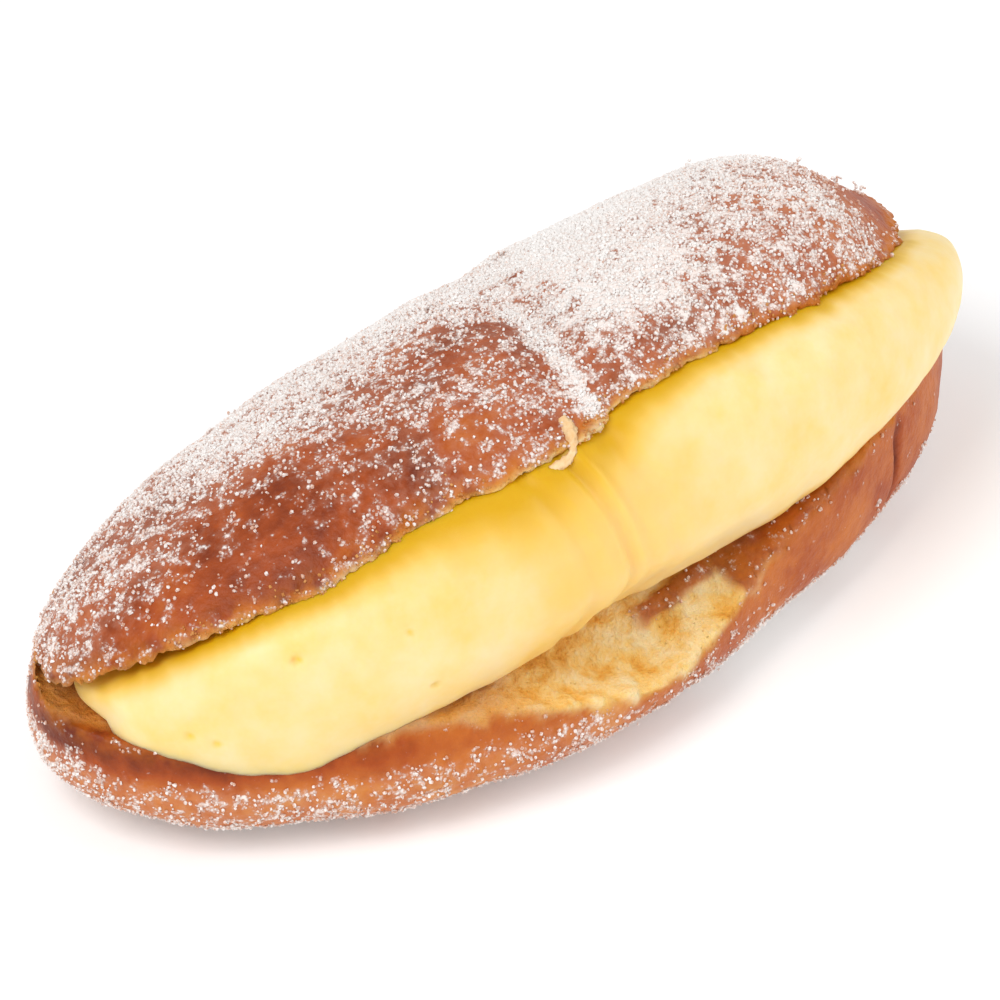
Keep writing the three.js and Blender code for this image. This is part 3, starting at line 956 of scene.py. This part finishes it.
def grain_cover(n, place):
    """How thickly the largest grains lie on the closed bun's skin, from 0 to 1."""
    to_slit = place[2] - slit_surface(place[0], place[1])
    bare_below = BARE_UNDER_CUSTARD if place[1] < 0 else BARE_RIM
    if -bare_below < to_slit < BARE_RIM:
        return 0
    if to_slit < 0:
        return smoothstep(place[2], *BARE_FOOT)
    return lerp(FRONT_COVER, 1, smoothstep(n[1], -0.8, 0))


grain_centres, grain_radii = grain_places()


def make_clumps():
    """A clump of crystals for each of the largest grains."""
    shape_points = []
    shape_faces = []
    random = np.random.default_rng(CLUMP_SEED)
    golden = (1 + 5**0.5) / 2
    corners = np.array(
        [(s, t * golden, 0) for s in (-1, 1) for t in (-1, 1)]
        + [(0, s, t * golden) for s in (-1, 1) for t in (-1, 1)]
        + [(t * golden, 0, s) for s in (-1, 1) for t in (-1, 1)]
    ) / math.hypot(1, golden)
    triangles = hull_faces(corners)
    for centre, radius in zip(grain_centres, grain_radii):
        for _ in range(CLUMP_COUNT):
            spread = random.normal(0, CLUMP_SPREAD * radius, 3)
            size = random.uniform(*CLUMP_CRYSTALS) * np.array((1.2, 1, 0.85))
            turn = np.linalg.qr(random.normal(size=(3, 3)))[0]
            turn *= np.sign(np.linalg.det(turn))
            shape_faces.append(triangles + 12 * len(shape_points))
            shape_points.append(corners * size @ turn.T + centre + spread)
    return make_object("sugar_clumps", np.concatenate(shape_points), np.concatenate(shape_faces).tolist())


def hull_faces(corners):
    """The 20 faces of an icosahedron, outward, from its corners."""
    edge = min(np.linalg.norm(corners[0] - c) for c in corners[1:]) * 1.01
    faces = []
    for face in itertools.combinations(range(len(corners)), 3):
        a, b, c = corners[list(face)]
        if max(np.linalg.norm(a - b), np.linalg.norm(b - c), np.linalg.norm(c - a)) < edge:
            outward = np.dot(np.cross(b - a, c - a), a + b + c) > 0
            faces.append(face if outward else face[::-1])
    return np.array(faces)


sugar_clumps = make_clumps()
store(sugar_clumps.data, "sugar", np.full(len(sugar_clumps.data.vertices), 0.7))


def make_strand():
    """A strand of pale dough, torn and left hanging from the top lip beside the crease."""
    path = np.array(STRAND)
    count = 26
    around = 12
    share = np.linspace(0, len(path) - 1, count)
    middle = np.stack([np.interp(share, np.arange(len(path)), path[:, k]) for k in range(4)], 1)
    for _ in range(3):
        middle[1:-1] = (middle[:-2] + middle[1:-1] + middle[2:]) / 3
    run = np.gradient(middle[:, :3], axis=0)
    run /= np.linalg.norm(run, axis=1)[:, None]
    out = np.array(back)
    side = np.cross(run, out)
    side /= np.linalg.norm(side, axis=1)[:, None]
    turn = np.linspace(0, 2 * np.pi, around, endpoint=False)
    along = share[:, None]
    radius = middle[:, 3, None] * (1 + 0.5 * np.sin(3 * turn + along * 5) * np.sin(along * 4))
    wide = side[:, None] * (radius * np.cos(turn))[..., None]
    flattened = 0.6
    deep = out * flattened * (radius * np.sin(turn))[..., None]
    tube = (middle[:, None, :3] + wide + deep).reshape(-1, 3)
    here = np.arange(around)
    ends = [here[::-1].tolist(), (around * (count - 1) + here).tolist()]
    faces = faces_between(count, around, 0) + ends
    thing = make_object("torn_dough_strand", tube + (0, MIDDLE_Y, 0), faces)
    thing.data.shade_smooth()
    return thing


strand = make_strand()


# Materials.
def make_bun_material():
    """Baked sweet dough: red-brown crust, golden torn lips, pale crumb and a haze of fine sugar dust."""
    material, tree, output, place = new_material("baked_sweet_dough")
    masks = {
        name: add(tree, "ShaderNodeAttribute", {"attribute_name": name}).outputs["Fac"]
        for name in ("crumb", "lip", "sugar", "bake_and_crack_shade", "toast")
    }
    patches = add(tree, NOISE, {}, {"Vector": place, "Scale": 1 / 11, "Detail": 3.0})
    mottle = add(tree, NOISE, {}, {"Vector": place, "Scale": 1 / 1.8, "Detail": 5.0})
    # The crust's browning, which also carries the painted shade in the crack.
    browning_and_crack_shade = add(tree, MATH, MULTIPLY_ADD, {0: patches, 1: 0.9, 2: -0.45})
    browning_and_crack_shade = add(tree, MATH, ADD, {0: browning_and_crack_shade, 1: masks["bake_and_crack_shade"]})
    browning_and_crack_shade = add(tree, MATH, MULTIPLY_ADD, {0: mottle, 1: 0.35, 2: browning_and_crack_shade})
    browning_and_crack_shade = add(tree, MATH, SUBTRACT, {0: browning_and_crack_shade, 1: 0.17})
    ramp = add(tree, "ShaderNodeValToRGB", {}, {"Fac": browning_and_crack_shade})
    set_stops(ramp, ((0.05, "#dc9749"), (0.35, "#c66e2b"), (0.68, "#a74a18"), (0.98, "#6c2509")))
    torn = add(tree, NOISE, {}, {"Vector": place, "Scale": 1 / 3.0, "Detail": 4.0})
    torn = add(tree, MAP_RANGE, {}, {"Value": torn, "From Min": 0.36, "From Max": 0.56})
    edge = add(tree, MATH, MULTIPLY, {0: masks["lip"], 1: torn})
    grains = add(tree, "ShaderNodeTexVoronoi", {}, {"Vector": place, "Scale": 2.1})
    chance = add(tree, "ShaderNodeSeparateColor", {}, {0: grains.outputs["Color"]})
    in_part = add(tree, VECTOR_MATH, ADD, {0: place, 1: (0.0, MIDDLE_Y, 0.0)})
    drift = add(
        tree,
        NOISE,
        {},
        {"Vector": in_part, "Scale": 1 / CLUMP_SIZE, "Detail": CLUMP_DETAIL, "Roughness": CLUMP_ROUGHNESS},
    )
    layer = add(tree, MATH, MULTIPLY_ADD, {0: masks["sugar"], 1: 0.34, 2: drift})
    speckle = add(tree, MATH, ADD, {0: chance.outputs["Red"], 1: grains.outputs["Distance"]})
    layer = add(tree, MATH, MULTIPLY_ADD, {0: speckle, 1: -0.13, 2: layer})
    dust = add(
        tree, MAP_RANGE, SMOOTHLY, {"Value": layer, "From Min": 0.54, "From Max": 0.74, "To Max": 0.9}
    )
    haze = add(tree, MATH, ADD, {0: masks["sugar"], 1: drift})
    haze = add(tree, MAP_RANGE, {}, {"Value": haze, "From Min": 0.75, "From Max": 1.3, "To Max": 0.42})
    colour = ramp
    for share, tint in ((edge, "#d07808"), (haze, "#d9a58c"), (dust, "#fbf3ee")):
        colour = add(tree, MIX, OF_COLOURS, {"Factor": share, "A": colour, "B": hex_colour(tint)})
    wrinkles = add(tree, NOISE, {}, {"Vector": place, "Scale": 1 / 0.9, "Detail": 4.0})
    height = add(tree, MATH, MULTIPLY_ADD, {0: dust, 1: 0.8, 2: wrinkles})
    bumps = add(tree, "ShaderNodeBump", {}, {"Height": height, "Strength": 0.7, "Distance": 0.0004})
    crust = add(
        tree,
        PRINCIPLED,
        {},
        {
            "Base Color": colour,
            "Roughness": 0.46,
            "IOR": 1.45,
            "Specular IOR Level": 0.3,
            "Normal": bumps,
        },
    )
    lumpy = add(tree, NOISE, {}, {"Vector": place, "Scale": 1 / 4.5, "Detail": 3.0})
    pores = add(tree, NOISE, {}, {"Vector": place, "Scale": 1 / 1.1, "Detail": 5.0, "Roughness": 0.65})
    paleness = add(tree, MATH, MULTIPLY_ADD, {0: pores, 1: 0.5, 2: lumpy})
    bent = add(tree, VECTOR_MATH, MULTIPLY_ADD, {0: pores.outputs["Color"], 1: (1.6, 1.6, 1.6), 2: place})
    cells = add(tree, "ShaderNodeTexVoronoi", {}, {"Vector": bent, "Scale": 1 / 1.2})
    # Painted shade in the crumb's pores: their centres are darker in colour, and sunk in the bump.
    shaded_pores = add(tree, MAP_RANGE, {}, {"Value": cells, "From Min": 0.05, "From Max": 0.5, "To Min": -0.14})
    shaded_pores = add(tree, MATH, MINIMUM, {0: shaded_pores, 1: 0.0})
    paleness = add(tree, MATH, ADD, {0: paleness, 1: shaded_pores})
    crumb_ramp = add(tree, "ShaderNodeValToRGB", {}, {"Fac": paleness})
    set_stops(crumb_ramp, ((0.48, "#e09c3a"), (0.59, "#f8c05c"), (0.73, "#fdd584"), (0.94, "#fee6b2")))
    toasted = add(
        tree, MIX, OF_COLOURS, {"Factor": masks["toast"], "A": crumb_ramp, "B": hex_colour("#cb7616")}
    )
    rough = add(tree, "ShaderNodeBump", {}, {"Height": paleness, "Strength": 1.0, "Distance": 0.0016})
    inside = add(
        tree,
        PRINCIPLED,
        {},
        {
            "Base Color": toasted,
            "Roughness": 0.65,
            "IOR": 1.4,
            "Subsurface Weight": 0.12,
            "Subsurface Radius": (1.0, 0.5, 0.2),
            "Subsurface Scale": 0.001,
            "Normal": rough,
        },
    )
    surface = add(tree, "ShaderNodeMixShader", {}, {0: masks["crumb"], 1: crust, 2: inside})
    tree.links.new(surface.outputs[0], output.inputs[0])
    return material


def make_dough_material():
    """Torn inner dough: pale cream, soft and a little translucent."""
    material, tree, output, place = new_material("pale_torn_dough")
    shade = add(tree, NOISE, {}, {"Vector": place, "Scale": 1.1, "Detail": 3.0})
    colour = add(
        tree, MIX, OF_COLOURS, {"Factor": shade, "A": hex_colour("#e2a050"), "B": hex_colour("#fdeac0")}
    )
    bumps = add(tree, "ShaderNodeBump", {}, {"Height": shade, "Strength": 0.6, "Distance": 0.0005})
    surface = add(
        tree, PRINCIPLED, {}, {"Base Color": colour, "Roughness": 0.55, "IOR": 1.4, "Normal": bumps}
    )
    tree.links.new(surface.outputs[0], output.inputs[0])
    return material


def make_custard_material():
    """Set vanilla custard: smooth, moist and translucent, with painted shade in deep yellow under the top lip,
    over the ledge, across the middle and in the pits.
    """
    material, tree, output, place = new_material("set_vanilla_custard")
    masks = {
        name: add(tree, "ShaderNodeAttribute", {"attribute_name": name}).outputs["Fac"]
        for name in ("under_lip", "over_ledge", "pit_shade", "shaded_middle")
    }
    clouds = add(tree, NOISE, {}, {"Vector": place, "Scale": 1 / 7, "Detail": 4.0, "Roughness": 0.55})
    clouds = add(tree, MAP_RANGE, {}, {"Value": clouds, "From Min": 0.3, "From Max": 0.7})
    colour = add(
        tree, MIX, OF_COLOURS, {"Factor": clouds, "A": hex_colour("#fcd581"), "B": hex_colour("#fee1ab")}
    )
    # Painted shade across the middle.
    shaded_middle = add(tree, MATH, MULTIPLY, {0: masks["shaded_middle"], 1: 0.75})
    tints = [(shaded_middle, "#f8ca70")]
    # Painted shade: deep yellow bands that fade with the distance under the top lip and over the ledge.
    for name, start, stop, strength, tint in (
        ("under_lip", 2.4, 6.5, 0.85, "#ecc24a"),
        ("under_lip", 1.0, 4.0, 1.0, "#dcab0c"),
        ("over_ledge", 1.4, 4.6, 0.7, "#efb84a"),
        ("over_ledge", 0.2, 1.4, 0.9, "#dc9e22"),
    ):
        fading = {"Value": masks[name], "From Min": start, "From Max": stop}
        fading |= {"To Min": strength, "To Max": 0.0}
        tints.append((add(tree, MAP_RANGE, SMOOTHLY, fading), tint))
    # Painted shade in the pits.
    tints.append((masks["pit_shade"], "#f0cf30"))
    for share, tint in tints:
        colour = add(tree, MIX, OF_COLOURS, {"Factor": share, "A": colour, "B": hex_colour(tint)})
    fine = add(tree, NOISE, {}, {"Vector": place, "Scale": 1 / 2.5, "Detail": 3.0})
    bumps = add(tree, "ShaderNodeBump", {}, {"Height": fine, "Strength": 0.25, "Distance": 0.0003})
    surface = add(
        tree,
        PRINCIPLED,
        {},
        {
            "Base Color": colour,
            "Roughness": 0.4,
            "IOR": 1.38,
            "Subsurface Weight": 0.7,
            "Subsurface Radius": (0.8, 0.75, 0.35),
            "Subsurface Scale": 0.003,
            "Normal": bumps,
        },
    )
    tree.links.new(surface.outputs[0], output.inputs[0])
    return material


def make_floor_material():
    """White paper: matt, and bright enough to come out pure white."""
    material, tree, output, place = new_material("white_paper")
    surface = add(
        tree,
        PRINCIPLED,
        {},
        {"Base Color": (0.95, 0.95, 0.95, 1), "Roughness": 1.0, "Specular IOR Level": 0.0},
    )
    glow = add(tree, "ShaderNodeEmission", {}, {"Color": (1, 1, 1, 1), "Strength": 0.12})
    both = add(tree, "ShaderNodeAddShader", {}, {0: surface, 1: glow})
    tree.links.new(both.outputs[0], output.inputs[0])
    return material


paints = {
    bun: make_bun_material(),
    custard: make_custard_material(),
    sugar_clumps: sugar_material,
    strand: make_dough_material(),
}
for thing, material in paints.items():
    thing.data.materials.clear()
    thing.data.materials.append(material)

# From millimetres to metres, and the bun's middle to the middle of the frame.
coarse_sugar, medium_sugar, fine_sugar, lip_crumbs = grains
pieces = [bun, custard, coarse_sugar, medium_sugar, fine_sugar, sugar_clumps, lip_crumbs, strand]
for piece in pieces:
    piece.data.transform(Matrix.Scale(MM, 4) @ Matrix.Translation((0, -MIDDLE_Y, 0)))
    places = points_of(piece.data)
    places[:, 2] = np.maximum(places[:, 2], 0)
    move_points(piece.data, places)
    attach(piece, "root")
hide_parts("bun")
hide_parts("custard")

# The table and the light.
floor_size = 6
corner = floor_size / 2
floor = make_object(
    "white_table",
    [(-corner, -corner, 0), (corner, -corner, 0), (corner, corner, 0), (-corner, corner, 0)],
    [(0, 1, 2, 3)],
)
floor.data.materials.append(make_floor_material())

world = bpy.data.worlds.new("white_room")
world.use_nodes = True
world.node_tree.nodes["Background"].inputs["Color"].default_value = (1, 1, 1, 1)
world.node_tree.nodes["Background"].inputs["Strength"].default_value = 0.62
bpy.context.scene.world = world


def soft_light(name, place, size, watts):
    """A square lamp that looks at the middle of the bun."""
    lamp = bpy.data.lights.new(name, "AREA")
    lamp.shape = "SQUARE"
    lamp.size = size
    lamp.energy = watts
    holder = bpy.data.objects.new(name, lamp)
    aim = Vector((0, 0, 0.02)) - Vector(place)
    holder.matrix_world = Matrix.Translation(place) @ aim.to_track_quat("-Z", "Y").to_matrix().to_4x4()
    bpy.context.scene.collection.objects.link(holder)


soft_light("window", (-0.55, -0.1, 0.75), 0.45, 4.4)
soft_light("fill", (0.6, -0.6, 0.5), 0.6, 2.6)

# The camera.
lens = bpy.data.cameras.new("photo_camera")
lens.sensor_width = LENS["sensor"]
lens.lens = LENS["length"]
lens.clip_start = 0.05
camera = bpy.data.objects.new("photo_camera", lens)
bpy.context.scene.collection.objects.link(camera)
facing = Matrix((right, back.cross(right), back)).transposed().to_4x4()
camera.matrix_world = Matrix.Translation(AIM + DISTANCE * back) @ facing
bpy.context.scene.camera = camera

bpy.context.scene.view_settings.view_transform = "Standard"
bpy.context.scene.view_settings.look = "None"
